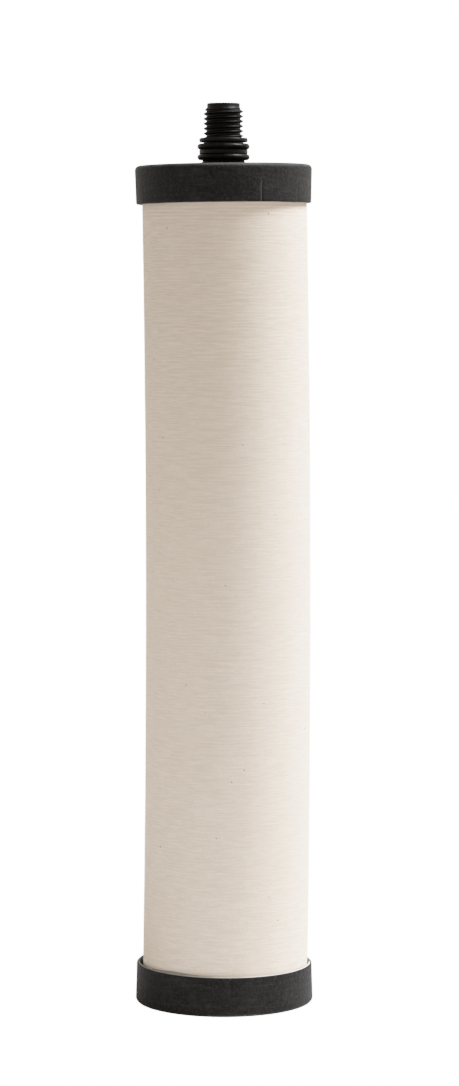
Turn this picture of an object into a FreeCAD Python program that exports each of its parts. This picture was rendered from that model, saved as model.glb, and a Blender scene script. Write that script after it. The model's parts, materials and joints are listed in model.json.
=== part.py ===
import FreeCAD, Part

import math
import os

# A replacement cartridge for a portable water filter: a porous ceramic tube bonded into two moulded
# end caps, round a carbon core that drains through a threaded outlet spigot.
# All sizes are millimetres. The cartridge stands on its lower cap, +Z is up and the origin is the
# middle of the base. The ceramic tube bows a little towards +X.

# Whole body
BODY_HEIGHT = 256.3

# End caps: one moulding, used at both ends, described with its closed face down
CAP_HEIGHT = 11.75
CAP_RADIUS = 27.2
CAP_RIM_RADIUS = 26.85
CAP_LIP = 0.95
CAP_CORNER = 1.0
LIP_ROUNDING = 0.2
CAP_FLOOR = 2.2
CHANNEL_RADIUS = 25.75
GUIDE_INNER = 16.2
GUIDE_OUTER = 17.2
GUIDE_HEIGHT = 4.0
FACE_RECESS = 0.5
FACE_RECESS_RADIUS = 21.0
GATE_RADIUS = 1.2
GATE_HEIGHT = 0.3
RIB_COUNT = 6
RIB_WIDTH = 1.6
RIB_HEIGHT = 0.8
RIB_INNER = 18.4
RIB_OUTER = 24.6
SPIGOT_HOLE = 7.55

# Ceramic tube: its axis stands off the caps' axis by these amounts, always towards +X
CERAMIC_OUTER = 25.25
CERAMIC_INNER = 18.0
CERAMIC_STANDOFF = 1.3
BOW_AT_ENDS = 0.15
BOW_AT_MIDDLE = 1.3

# Potting resin
RESIN_LEVEL = 10.6

# Carbon core
PAD_RADIUS = 14.0
PAD_ROUNDING = 0.8
CUP_INNER = 15.9
CUP_OUTER = 16.9
CUP_FLOOR = 1.8
CUP_DEPTH = 5.6
CUP_CLEARANCE = 0.2
NIB_COUNT = 4
NIB_WIDTH = 1.6
NIB_HEIGHT = 3.6
NIB_REACH = 0.5
GLUE_THICKNESS = 0.5
GLUE_RADIUS = 15.8
BLOCK_RADIUS = 15.0
BLOCK_BORE = 4.5
FLEECE_THICKNESS = 0.8
SEAM_THICKNESS = 0.35
SEAM_WIDTH = 8.0
CORE_TOP = 243.3
CORE_TUBE_INNER = 3.5
CORE_TUBE_OUTER = 4.4
PERFORATION_RADIUS = 0.8
PERFORATION_PITCH = 12.0
SOCKET_INNER = 5.8
SOCKET_OUTER = 8.0
SOCKET_HEIGHT = 5.3
STRAINER_RADIUS = 5.7
STRAINER_THICKNESS = 1.0
STRAINER_HOLE = 0.45
STRAINER_PITCH = 1.5
STRAINER_RINGS = 2

# Outlet spigot, from its tail inside the cartridge to its threaded end
SPIGOT_BORE = 3.0
SPIGOT_TOP = 275.3
TAIL_BOTTOM = 244.6
TAIL_RADIUS = 5.65
TAIL_GROOVE_FLOOR = 4.1
TAIL_GROOVE_BOTTOM = 245.5
TAIL_GROOVE_WIDTH = 2.2
FLANGE_RADIUS = 11.0
FLANGE_THICKNESS = 2.0
BODY_RADIUS = 7.4
NECK_RADIUS = 6.1
SHOULDER_TOP = 257.1
FLARE_RADIUS = 6.65
FLARE_TOP = 258.4
LAND_BOTTOM = 259.75
LAND_TOP = 261.1
COLLAR_BOTTOM = 263.4
COLLAR_TOP = 264.65
COLLAR_ROUNDING = 0.35
LAND_ROUNDING = 0.15
LEAD_RADIUS = 5.02
LEAD_BOTTOM = 274.0
LEAD_CHAMFER = 0.25
MOUTH_CHAMFER = 0.4

# External right-hand thread, M12 x 1.5
THREAD_PITCH = 1.5
THREAD_CREST = 6.05
THREAD_ROOT = 5.2
THREAD_CREST_FLAT = 0.19
THREAD_FLANK = math.radians(30)
THREAD_SINK = 0.15
THREAD_CLEARANCE = 0.3
THREAD_START = 263.8

# Seals
O_RING_SECTION = 0.9
O_RING_MEAN = 7.1
UPPER_O_RING_HEIGHT = 262.05
LOWER_O_RING_HEIGHT = 258.8
CORE_SEAL_SECTION = 0.83
CORE_SEAL_MEAN = 4.95
GASKET_INNER = 7.5
GASKET_THICKNESS = 1.0

# Lock ring that holds the spigot's flange against the gasket
LOCK_INNER = 8.5
LOCK_OUTER = 16.1
LOCK_RIM = 17.0
LOCK_STEP = 1.0
SPANNER_HOLES = 4
SPANNER_HOLE_RADIUS = 1.5
SPANNER_CIRCLE = 13.0

UP = FreeCAD.Vector(0, 0, 1)
SIDEWAYS = FreeCAD.Vector(1, 0, 0)
DEPTHWAYS = FreeCAD.Vector(0, 1, 0)
ORIGIN = FreeCAD.Vector(0, 0, 0)


# Shared shapes


def turned(outline):
    """Solid of revolution about Z from a closed outline of (radius, height) points."""
    points = [FreeCAD.Vector(radius, 0, height) for radius, height in outline]
    face = Part.Face(Part.makePolygon(points + points[:1]))
    return face.revolve(ORIGIN, UP, 360)


def washer(inner, outer, bottom, top):
    """Flat ring, or a plain disc when the inner radius is zero."""
    return turned([(inner, bottom), (outer, bottom), (outer, top), (inner, top)])


def rim_edges(solid, rims):
    """The solid's circular edges about Z that lie at one of the (radius, height) pairs."""
    found = []
    for edge in solid.Edges:
        if not isinstance(edge.Curve, Part.Circle):
            continue
        for radius, height in rims:
            same_radius = abs(edge.Curve.Radius - radius) < 0.005
            same_height = abs(edge.Curve.Center.z - height) < 0.005
            if same_radius and same_height:
                found.append(edge)
    return found


def rounded(solid, radius, *rims):
    """Fillet the circular edges named by (radius, height) pairs."""
    return solid.makeFillet(radius, rim_edges(solid, rims))


def spoke(width, inner, outer, bottom, height, angle):
    """Straight radial bar that starts at the inner radius and points along an angle in degrees."""
    corner = FreeCAD.Vector(inner, -width / 2, bottom)
    bar = Part.makeBox(outer - inner, width, height, corner)
    return bar.rotate(ORIGIN, UP, angle)


def round_the_axis(count, start=0.0):
    """Equally spaced angles in degrees."""
    return [start + 360.0 * step / count for step in range(count)]


def drilled(solid, radius, places, bottom, top):
    """Cut round holes parallel to Z at each (x, y) place."""
    drills = []
    for x, y in places:
        drills.append(Part.makeCylinder(radius, top - bottom, FreeCAD.Vector(x, y, bottom)))
    return solid.cut(drills)


def flipped(solid):
    """The same solid turned end for end, so that the lower end's shape serves at the upper end."""
    return solid.copy().rotate(FreeCAD.Vector(0, 0, BODY_HEIGHT / 2), SIDEWAYS, 180)


def o_ring(mean_radius, section_radius, height):
    """Seal ring of round section, lying level."""
    return Part.makeTorus(mean_radius, section_radius, FreeCAD.Vector(0, 0, height), UP)


# Ceramic tube and its end caps


def end_cap():
    """Cap with its closed face down: a channel for the ceramic, with a guide ring inside it."""
    guide_top = CAP_FLOOR + GUIDE_HEIGHT
    cap = turned([
        (0, FACE_RECESS),
        (FACE_RECESS_RADIUS, FACE_RECESS),
        (FACE_RECESS_RADIUS + FACE_RECESS, 0),
        (CAP_RADIUS, 0),
        (CAP_RIM_RADIUS, CAP_HEIGHT),
        (CAP_RIM_RADIUS - CAP_LIP, CAP_HEIGHT),
        (CHANNEL_RADIUS, CAP_FLOOR),
        (GUIDE_OUTER, CAP_FLOOR),
        (GUIDE_OUTER, guide_top),
        (GUIDE_INNER, guide_top),
        (GUIDE_INNER, CAP_FLOOR),
        (0, CAP_FLOOR),
    ])
    cap = rounded(cap, CAP_CORNER, (CAP_RADIUS, 0))
    lip_edges = [(CAP_RIM_RADIUS, CAP_HEIGHT), (CAP_RIM_RADIUS - CAP_LIP, CAP_HEIGHT)]
    cap = rounded(cap, LIP_ROUNDING, *lip_edges)
    ribs = []
    for angle in round_the_axis(RIB_COUNT):
        ribs.append(spoke(RIB_WIDTH, RIB_INNER, RIB_OUTER, CAP_FLOOR, RIB_HEIGHT, angle))
    return cap.fuse(ribs)


def lower_end_cap():
    """Blind cap, with the mould's gate mark in the middle of its base."""
    gate = washer(0, GATE_RADIUS, FACE_RECESS - GATE_HEIGHT, FACE_RECESS)
    return end_cap().fuse(gate).removeSplitter()


def upper_end_cap():
    """Cap with a round hole that the outlet spigot passes up through."""
    cap = flipped(end_cap())
    hole = washer(0, SPIGOT_HOLE, BODY_HEIGHT - CAP_HEIGHT, BODY_HEIGHT)
    return cap.cut(hole)


def bowed_rod(radius):
    """Rod bent to a very large circle, whose centre is level with its middle and off to -X."""
    half_length = BODY_HEIGHT / 2 - CAP_FLOOR - CERAMIC_STANDOFF
    rise = BOW_AT_MIDDLE - BOW_AT_ENDS
    bend_radius = half_length ** 2 / (2 * rise) + rise / 2
    half_angle = math.degrees(math.asin(half_length / bend_radius))
    middle = FreeCAD.Vector(BOW_AT_MIDDLE, 0, BODY_HEIGHT / 2)
    bend_centre = middle - SIDEWAYS * bend_radius
    disc = Part.Face(Part.Wire(Part.makeCircle(radius, middle, UP)))
    disc.rotate(bend_centre, DEPTHWAYS, -half_angle)
    return disc.revolve(bend_centre, DEPTHWAYS, 2 * half_angle)


def ceramic_shell():
    """Porous tube, with the little bow that its firing left."""
    return bowed_rod(CERAMIC_OUTER).cut(bowed_rod(CERAMIC_INNER))


def potting_resin(ceramic):
    """Resin in the lower cap's channel: to its own level outside, to the guide ring's top inside."""
    draft = (CAP_RIM_RADIUS - CAP_LIP - CHANNEL_RADIUS) / (CAP_HEIGHT - CAP_FLOOR)
    radius_at_level = CHANNEL_RADIUS + draft * (RESIN_LEVEL - CAP_FLOOR)
    fill = turned([
        (GUIDE_OUTER, CAP_FLOOR),
        (CHANNEL_RADIUS, CAP_FLOOR),
        (radius_at_level, RESIN_LEVEL),
        (GUIDE_OUTER, RESIN_LEVEL),
    ])
    inside_wall = (CERAMIC_INNER + CERAMIC_OUTER) / 2
    above_guide = washer(0, inside_wall, CAP_FLOOR + GUIDE_HEIGHT, RESIN_LEVEL)
    return fill.cut([end_cap(), ceramic, above_guide])


# Carbon core, from the bottom up

PAD_TOP = CAP_FLOOR + GUIDE_HEIGHT + CUP_CLEARANCE
LOWER_CUP_FLOOR = PAD_TOP + CUP_FLOOR
UPPER_CUP_FLOOR = CORE_TOP - CUP_FLOOR
BLOCK_BOTTOM = LOWER_CUP_FLOOR + GLUE_THICKNESS
BLOCK_TOP = UPPER_CUP_FLOOR - GLUE_THICKNESS


def base_pad():
    """Foam pad that presses the core up towards the outlet."""
    pad = washer(0, PAD_RADIUS, CAP_FLOOR, PAD_TOP)
    return rounded(pad, PAD_ROUNDING, (PAD_RADIUS, CAP_FLOOR), (PAD_RADIUS, PAD_TOP))


def core_cup(face_height, depth):
    """Cup round one end of the block, with nibs that centre it. A negative depth opens it downwards."""
    floor = math.copysign(CUP_FLOOR, depth)
    cup = turned([
        (0, face_height),
        (CUP_OUTER, face_height),
        (CUP_OUTER, face_height + depth),
        (CUP_INNER, face_height + depth),
        (CUP_INNER, face_height + floor),
        (0, face_height + floor),
    ])
    nib_middle = face_height + depth / 2
    nibs = []
    for angle in round_the_axis(NIB_COUNT, 45):
        nib_bottom = nib_middle - NIB_HEIGHT / 2
        nib_end = CUP_OUTER + NIB_REACH
        nibs.append(spoke(NIB_WIDTH, CUP_INNER + 0.3, nib_end, nib_bottom, NIB_HEIGHT, angle))
    return cup.fuse(nibs)


def core_upper_cap():
    """Upper cup, with the drain hole and the socket that the spigot's tail plugs into."""
    socket = washer(0, SOCKET_OUTER, CORE_TOP, CORE_TOP + SOCKET_HEIGHT)
    cup = core_cup(CORE_TOP, -CUP_DEPTH).fuse(socket)
    bore = washer(0, SOCKET_INNER, CORE_TOP, CORE_TOP + SOCKET_HEIGHT)
    drain = washer(0, CORE_TUBE_INNER, UPPER_CUP_FLOOR, CORE_TOP)
    return cup.cut([bore, drain])


def carbon_fleece_wrap():
    """Fleece round the block, with a raised lap seam down its back between the two cups."""
    outer = BLOCK_RADIUS + FLEECE_THICKNESS
    wrap = washer(BLOCK_RADIUS, outer, BLOCK_BOTTOM, BLOCK_TOP)
    seam_bottom = PAD_TOP + CUP_DEPTH + CUP_CLEARANCE
    seam_top = CORE_TOP - CUP_DEPTH - CUP_CLEARANCE
    lap = washer(outer - FLEECE_THICKNESS / 2, outer + SEAM_THICKNESS, seam_bottom, seam_top)
    corner = FreeCAD.Vector(-SEAM_WIDTH / 2, 0, seam_bottom)
    strip = Part.makeBox(SEAM_WIDTH, 2 * outer, seam_top - seam_bottom, corner)
    return wrap.fuse(lap.common(strip)).removeSplitter()


def core_tube():
    """Perforated liner of the block's bore, with each row of four holes turned from the last."""
    tube = washer(CORE_TUBE_INNER, CORE_TUBE_OUTER, LOWER_CUP_FLOOR, UPPER_CUP_FLOOR)
    reach = 2 * CORE_TUBE_OUTER
    rows = int((BLOCK_TOP - BLOCK_BOTTOM) / PERFORATION_PITCH)
    drills = []
    for row in range(rows):
        height = BLOCK_BOTTOM + PERFORATION_PITCH * (row + 0.5)
        for angle in (45 * (row % 2), 45 * (row % 2) + 90):
            start = FreeCAD.Vector(-reach, 0, height)
            drill = Part.makeCylinder(PERFORATION_RADIUS, 2 * reach, start, SIDEWAYS)
            drills.append(drill.rotate(ORIGIN, UP, angle))
    return tube.cut(drills)


def outlet_strainer():
    """Disc under the spigot's tail, with rings of small holes round a central one."""
    top = CORE_TOP + STRAINER_THICKNESS
    disc = washer(0, STRAINER_RADIUS, CORE_TOP, top)
    places = [(0, 0)]
    for ring in range(1, STRAINER_RINGS + 1):
        for angle in round_the_axis(6 * ring):
            turn = math.radians(angle)
            distance = ring * STRAINER_PITCH
            places.append((distance * math.cos(turn), distance * math.sin(turn)))
    return drilled(disc, STRAINER_HOLE, places, CORE_TOP, top)


# Outlet spigot and what holds it

CAP_INSIDE = BODY_HEIGHT - CAP_FLOOR
FLANGE_TOP = CAP_INSIDE - GASKET_THICKNESS
FLANGE_BOTTOM = FLANGE_TOP - FLANGE_THICKNESS


def thread_envelope(bottom):
    """Space that the thread may fill: clear of its crest all round, with a 45 degree lead at the top."""
    outer = THREAD_CREST + THREAD_CLEARANCE
    return turned([
        (0, bottom),
        (outer, bottom),
        (outer, LEAD_BOTTOM + LEAD_RADIUS - outer),
        (LEAD_RADIUS, LEAD_BOTTOM),
        (0, LEAD_BOTTOM),
    ])


def thread_ridge():
    """Right-hand helical ridge, sunk a little into the core so that the two fuse cleanly."""
    sunk_radius = THREAD_ROOT - THREAD_SINK
    crest_half = THREAD_CREST_FLAT / 2
    slope = math.tan(THREAD_FLANK)
    sunk_half = crest_half + (THREAD_CREST - sunk_radius) * slope
    profile = Part.makePolygon([
        FreeCAD.Vector(sunk_radius, 0, -sunk_half),
        FreeCAD.Vector(THREAD_CREST, 0, -crest_half),
        FreeCAD.Vector(THREAD_CREST, 0, crest_half),
        FreeCAD.Vector(sunk_radius, 0, sunk_half),
        FreeCAD.Vector(sunk_radius, 0, -sunk_half),
    ])
    helix = Part.makeHelix(THREAD_PITCH, LEAD_BOTTOM - THREAD_START, THREAD_CREST)
    ridge = Part.Wire(helix.Edges).makePipeShell([profile], True, True)
    ridge.translate(UP * THREAD_START)
    return ridge.common(thread_envelope(THREAD_START - THREAD_PITCH))


def spigot_core():
    """Everything on the spigot but its thread, as one turned outline with the bore down it."""
    groove_top = TAIL_GROOVE_BOTTOM + TAIL_GROOVE_WIDTH
    root_lead = THREAD_ROOT - LEAD_RADIUS
    core = turned([
        (SPIGOT_BORE, TAIL_BOTTOM),
        (TAIL_RADIUS - COLLAR_ROUNDING, TAIL_BOTTOM),
        (TAIL_RADIUS, TAIL_BOTTOM + COLLAR_ROUNDING),
        (TAIL_RADIUS, TAIL_GROOVE_BOTTOM),
        (TAIL_GROOVE_FLOOR, TAIL_GROOVE_BOTTOM),
        (TAIL_GROOVE_FLOOR, groove_top),
        (TAIL_RADIUS, groove_top),
        (TAIL_RADIUS, FLANGE_BOTTOM),
        (FLANGE_RADIUS, FLANGE_BOTTOM),
        (FLANGE_RADIUS, FLANGE_TOP),
        (BODY_RADIUS, FLANGE_TOP),
        (BODY_RADIUS, SHOULDER_TOP),
        (FLARE_RADIUS, SHOULDER_TOP),
        (NECK_RADIUS, FLARE_TOP),
        (NECK_RADIUS, LAND_BOTTOM),
        (BODY_RADIUS, LAND_BOTTOM),
        (BODY_RADIUS, LAND_TOP),
        (NECK_RADIUS, LAND_TOP),
        (NECK_RADIUS, COLLAR_BOTTOM),
        (BODY_RADIUS, COLLAR_BOTTOM),
        (BODY_RADIUS, COLLAR_TOP),
        (THREAD_ROOT, COLLAR_TOP),
        (THREAD_ROOT, LEAD_BOTTOM - root_lead),
        (LEAD_RADIUS, LEAD_BOTTOM),
        (LEAD_RADIUS, SPIGOT_TOP - LEAD_CHAMFER),
        (LEAD_RADIUS - LEAD_CHAMFER, SPIGOT_TOP),
        (SPIGOT_BORE + MOUTH_CHAMFER, SPIGOT_TOP),
        (SPIGOT_BORE, SPIGOT_TOP - MOUTH_CHAMFER),
    ])
    core = rounded(core, COLLAR_ROUNDING, (BODY_RADIUS, COLLAR_BOTTOM), (BODY_RADIUS, COLLAR_TOP))
    return rounded(core, LAND_ROUNDING, (BODY_RADIUS, LAND_BOTTOM), (BODY_RADIUS, LAND_TOP))


def spigot_lock_ring():
    """Stepped ring welded into the upper cap's guide ring, with holes for a pin spanner."""
    bottom = BODY_HEIGHT - CAP_FLOOR - GUIDE_HEIGHT - LOCK_STEP
    ring = turned([
        (LOCK_INNER, bottom),
        (LOCK_RIM, bottom),
        (LOCK_RIM, bottom + LOCK_STEP),
        (LOCK_OUTER, bottom + LOCK_STEP),
        (LOCK_OUTER, FLANGE_BOTTOM),
        (LOCK_INNER, FLANGE_BOTTOM),
    ])
    places = []
    for angle in round_the_axis(SPANNER_HOLES):
        turn = math.radians(angle)
        places.append((SPANNER_CIRCLE * math.cos(turn), SPANNER_CIRCLE * math.sin(turn)))
    return drilled(ring, SPANNER_HOLE_RADIUS, places, bottom, FLANGE_BOTTOM)


def all_parts():
    """Every piece of the cartridge by its node name, outside first and then from the bottom up."""
    ceramic = ceramic_shell()
    resin = potting_resin(ceramic)
    core_seal_height = TAIL_GROOVE_BOTTOM + TAIL_GROOVE_WIDTH / 2
    return {
        "lower_end_cap": lower_end_cap(),
        "lower_potting_resin": resin,
        "ceramic_shell": ceramic,
        "upper_potting_resin": flipped(resin),
        "upper_end_cap": upper_end_cap(),
        "base_pad": base_pad(),
        "core_lower_cap": core_cup(PAD_TOP, CUP_DEPTH),
        "core_lower_glue": washer(CORE_TUBE_OUTER, GLUE_RADIUS, LOWER_CUP_FLOOR, BLOCK_BOTTOM),
        "carbon_block": washer(BLOCK_BORE, BLOCK_RADIUS, BLOCK_BOTTOM, BLOCK_TOP),
        "carbon_fleece_wrap": carbon_fleece_wrap(),
        "core_tube": core_tube(),
        "core_upper_glue": washer(CORE_TUBE_OUTER, GLUE_RADIUS, BLOCK_TOP, UPPER_CUP_FLOOR),
        "core_upper_cap": core_upper_cap(),
        "outlet_strainer": outlet_strainer(),
        "core_seal_o_ring": o_ring(CORE_SEAL_MEAN, CORE_SEAL_SECTION, core_seal_height),
        "spigot_lock_ring": spigot_lock_ring(),
        "outlet_spigot": spigot_core().fuse(thread_ridge()),
        "spigot_gasket": washer(GASKET_INNER, FLANGE_RADIUS, FLANGE_TOP, CAP_INSIDE),
        "spigot_o_ring_lower": o_ring(O_RING_MEAN, O_RING_SECTION, LOWER_O_RING_HEIGHT),
        "spigot_o_ring_upper": o_ring(O_RING_MEAN, O_RING_SECTION, UPPER_O_RING_HEIGHT),
    }


def main():
    os.makedirs("parts", exist_ok=True)
    for name, shape in all_parts().items():
        shape.exportStep(f"parts/{name}.step")


main()
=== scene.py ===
import json
import math

import bmesh
import bpy
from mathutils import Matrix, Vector, noise


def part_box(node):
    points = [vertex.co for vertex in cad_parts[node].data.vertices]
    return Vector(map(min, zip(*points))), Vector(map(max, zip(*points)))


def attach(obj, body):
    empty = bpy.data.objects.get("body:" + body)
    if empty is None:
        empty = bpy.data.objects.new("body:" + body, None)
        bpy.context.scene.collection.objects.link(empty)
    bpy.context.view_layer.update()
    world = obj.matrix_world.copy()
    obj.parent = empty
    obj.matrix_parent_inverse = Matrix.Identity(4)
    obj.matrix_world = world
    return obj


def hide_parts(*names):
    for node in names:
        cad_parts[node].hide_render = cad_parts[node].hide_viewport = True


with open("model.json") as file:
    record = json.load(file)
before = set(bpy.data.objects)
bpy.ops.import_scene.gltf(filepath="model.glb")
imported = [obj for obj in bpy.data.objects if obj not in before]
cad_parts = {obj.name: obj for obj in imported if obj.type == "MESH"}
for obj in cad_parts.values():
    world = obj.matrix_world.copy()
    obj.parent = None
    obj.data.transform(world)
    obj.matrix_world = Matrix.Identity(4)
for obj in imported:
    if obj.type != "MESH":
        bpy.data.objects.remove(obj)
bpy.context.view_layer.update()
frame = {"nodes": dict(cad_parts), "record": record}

# A ceramic water filter cartridge: a porous tube between two moulded end caps, with a threaded
# outlet spigot on top. The core inside it is hidden, and keeps its CAD shapes.
# Everything is in metres. MM turns the millimetre sizes of small details into metres.
MM = 0.001
TURN = 2 * math.pi

# How finely an outline's corners are rounded
LARGE_ROUNDING = 0.5 * MM
LARGE_ARC_STEPS = 8
SMALL_ARC_STEPS = 5

# Where things are, read from the frame
lower_cap_low, lower_cap_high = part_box("lower_end_cap")
upper_cap_low, upper_cap_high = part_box("upper_end_cap")
tube_low, tube_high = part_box("ceramic_shell")
spigot_low, spigot_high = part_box("outlet_spigot")
mounts = {mount["name"]: mount for mount in frame["record"]["mounts"]}

BODY_TOP = upper_cap_high.z
CAP_RADIUS = lower_cap_high.x
CAP_HEIGHT = lower_cap_high.z - lower_cap_low.z

# End caps, measured from their closed face
CAP_DRAFT = 0.35 * MM
CAP_LIP = 0.95 * MM
CAP_FLOOR = 2.2 * MM
LOWER_CORNER = 1.0 * MM
UPPER_CORNER = 1.4 * MM
LIP_OUTER_ROUNDING = 0.45 * MM
LIP_INNER_ROUNDING = 0.3 * MM
FINE_ROUNDING = 0.1 * MM
INSIDE_ROUNDING = 0.3 * MM
CHANNEL_RADIUS = 25.75 * MM
GUIDE_INNER = 16.2 * MM
GUIDE_OUTER = 17.2 * MM
GUIDE_HEIGHT = 4.0 * MM
FACE_RECESS = 0.5 * MM
FACE_RECESS_RADIUS = 21.0 * MM
GATE_RADIUS = 1.2 * MM
GATE_HEIGHT = 0.3 * MM
SPIGOT_HOLE = 7.55 * MM
RIB_COUNT = 6
RIB_SIZE = (6.2 * MM, 1.6 * MM, 0.9 * MM)
RIB_MIDDLE = 21.5 * MM
RIB_SINK = 0.1 * MM
CAP_SIDES = 288
WALL_ROWS = [step * 0.7 * MM for step in range(3, 16)]
CAP_UNEVENNESS = 0.02 * MM
UPPER_CAP_TILT = math.tan(math.radians(0.5))
LOWER_RIM_TILT = math.tan(math.radians(0.3))

# Ceramic tube
TUBE_RADIUS = (tube_high.y - tube_low.y) / 2
TUBE_WALL = 7.25 * MM
TUBE_ROWS = 600
TUBE_SIDES = 144
TUBE_INNER_ROWS = 12
RIM_ANGLE = 50
# Unevenness of its surface: depth, how often it changes around, size along, seed
TUBE_WAVES = (
    (0.035 * MM, 1.6, 30 * MM, 3.1),
    (0.010 * MM, 0.7, 0.9 * MM, 11.7),
    (0.012 * MM, 0.5, 3.5 * MM, 27.3),
)
# Turning marks: their spacing all over, and a few deeper ones close under the upper cap
TURNING_PITCH = 1.05 * MM
END_MARK_PITCH = 1.15 * MM
END_MARK_DEPTH = 0.035 * MM
END_MARK_MIDDLE = 1.2 * MM
END_MARK_REACH = 3.0 * MM
# Heights between which the turning lines get clearer, get coarser, and get deep at the upper end
CLEARER_LINES = (50 * MM, 200 * MM)
COARSER_LINES = (130 * MM, 235 * MM)
DEEP_LINES = (238.5 * MM, 241.5 * MM)

# Spigot, from its tail in the core's socket up to the thread; heights are above the floor
SPIGOT_SIDES = 160
BORE = mounts["outlet_bore"]["dims"]["r_mm"] * MM
TAIL_RADIUS = 5.65 * MM
TAIL_GROOVE_RADIUS = 4.1 * MM
TAIL_GROOVE_BOTTOM = 245.5 * MM
TAIL_GROOVE_TOP = 247.7 * MM
FLANGE_THICKNESS = 2.0 * MM
GASKET_THICKNESS = 1.0 * MM
SEAT_RADIUS = 7.4 * MM
NECK_RADIUS = 6.1 * MM
SHOULDER_TOP = 257.1 * MM
FLARE_RADIUS = 6.65 * MM
FLARE_TOP = 258.4 * MM
LAND_BOTTOM = 259.75 * MM
LAND_TOP = 261.1 * MM
COLLAR_BOTTOM = 263.4 * MM
COLLAR_TOP = 264.65 * MM
LEAD_RADIUS = mounts["spigot_lead"]["dims"]["r_mm"] * MM
LEAD_HEIGHT = 1.3 * MM
THREAD_ROWS = 150
THREAD_PITCH = 1.5 * MM
THREAD_CREST = 6.05 * MM
THREAD_ROOT = 5.2 * MM
THREAD_PHASE = 263.8 * MM
THREAD_CREST_HALF = 0.10 * MM
THREAD_FLANK = math.radians(60)  # from the axis
HAIR = 0.001 * MM  # tells the thread's rows from the outline's other points

# O-rings
RING_SIDES = 144
RING_SECTION_SIDES = 40
RING_FLASH = 0.03 * MM
RING_SWAY = 0.05 * MM


# ---------------------------------------------------------------- mesh building


def piece_from(name, points, faces, slot_name, *nodes):
    """Object from raw points and faces that rides on the root body and stands for its CAD nodes."""
    mesh = bpy.data.meshes.new(name)
    mesh.from_pydata(points, [], faces)
    mesh.validate()
    for polygon in mesh.polygons:
        polygon.use_smooth = True
    piece = bpy.data.objects.new(name, mesh)
    bpy.context.scene.collection.objects.link(piece)
    outward(mesh)
    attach(piece, "root")
    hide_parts(*nodes)
    return piece


def outward(mesh):
    """Turn every face to point out of its closed shell."""
    shell = bmesh.new()
    shell.from_mesh(mesh)
    bmesh.ops.recalc_face_normals(shell, faces=shell.faces)
    shell.to_mesh(mesh)
    shell.free()


def crisp(piece):
    """Flat faces shade flat right up to their rounded edges."""
    weighted = piece.modifiers.new("flat_faces", "WEIGHTED_NORMAL")
    weighted.keep_sharp = False
    weighted.weight = 100


def fillet(before, corner, after, radius, steps):
    """Points of the arc that rounds a corner between two straight runs."""
    corner = Vector(corner)
    arm_in = (Vector(before) - corner).normalized()
    arm_out = (Vector(after) - corner).normalized()
    half = arm_in.angle(arm_out) / 2
    centre = corner + (arm_in + arm_out).normalized() * (radius / math.sin(half))
    start = (corner + arm_in * (radius / math.tan(half)) - centre).normalized()
    end = (corner + arm_out * (radius / math.tan(half)) - centre).normalized()
    arc = [start.slerp(end, step / steps) * radius for step in range(steps + 1)]
    return [tuple(centre + arm) for arm in arc]


def outline(corners, closed):
    """(radius, height) points from corners given as (radius, height, rounding)."""
    points = []
    count = len(corners)
    for index, (radius, height, rounding) in enumerate(corners):
        at_end = not closed and index in (0, count - 1)
        if rounding == 0 or at_end:
            points.append((radius, height))
            continue
        before = corners[index - 1][:2]
        after = corners[(index + 1) % count][:2]
        steps = LARGE_ARC_STEPS if rounding > LARGE_ROUNDING else SMALL_ARC_STEPS
        points += fillet(before, (radius, height), after, rounding, steps)
    return points


def even_angles(count):
    return [TURN * step / count for step in range(count)]


def lathe(profile, angles, closed, shape=None):
    """Points and faces of a profile turned about Z. A point on the axis becomes a single pole.

    shape(angle, radius, height) may move a ring's point, and returns its new radius and height.
    """
    points, rings, faces = [], [], []
    for radius, height in profile:
        if radius == 0:
            rings.append([len(points)])
            points.append((0, 0, height))
            continue
        ring = []
        for angle in angles:
            r, z = shape(angle, radius, height) if shape else (radius, height)
            ring.append(len(points))
            points.append((r * math.cos(angle), r * math.sin(angle), z))
        rings.append(ring)
    for index in range(len(rings) if closed else len(rings) - 1):
        faces += bridge(rings[index], rings[(index + 1) % len(rings)])
    return points, faces


def bridge(lower, upper):
    """Faces between two rings of the same count, or between a ring and a pole."""
    count = max(len(lower), len(upper))
    faces = []
    for step in range(count):
        after = (step + 1) % count
        if len(lower) == 1:
            faces.append((lower[0], upper[after], upper[step]))
        elif len(upper) == 1:
            faces.append((lower[step], lower[after], upper[0]))
        else:
            faces.append((lower[step], lower[after], upper[after], upper[step]))
    return faces


def bumpiness(angle, height, around, along, seed):
    """Smooth noise on a cylinder, from -1 to 1. A larger around changes it more often on the way
    round, and along is the size of its features up the cylinder, in metres."""
    place = Vector((math.cos(angle) * around, math.sin(angle) * around, height / along + seed))
    return noise.noise(place)


# ---------------------------------------------------------------- ceramic tube


def tube_bend():
    """Middle and half angle of the tube's bow, from how far its box leans to +X."""
    middle_offset = tube_high.x - TUBE_RADIUS
    end_offset = tube_low.x + TUBE_RADIUS
    half_length = (tube_high.z - tube_low.z) / 2
    rise = middle_offset - end_offset
    bend_radius = half_length ** 2 / (2 * rise) + rise / 2
    # the box also holds the tilt of the tube's end faces
    half_angle = math.asin(half_length / bend_radius) * (1 - TUBE_RADIUS / bend_radius)
    centre = Vector((middle_offset - bend_radius, 0, (tube_high.z + tube_low.z) / 2))
    return centre, bend_radius, half_angle


def tube_point(centre, bend_radius, bend, angle, radius):
    """Point of the bowed tube at an angle round it and an angle along its bend."""
    reach = bend_radius + radius * math.cos(angle)
    return (
        centre.x + reach * math.cos(bend),
        radius * math.sin(angle),
        centre.z + reach * math.sin(bend),
    )


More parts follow.
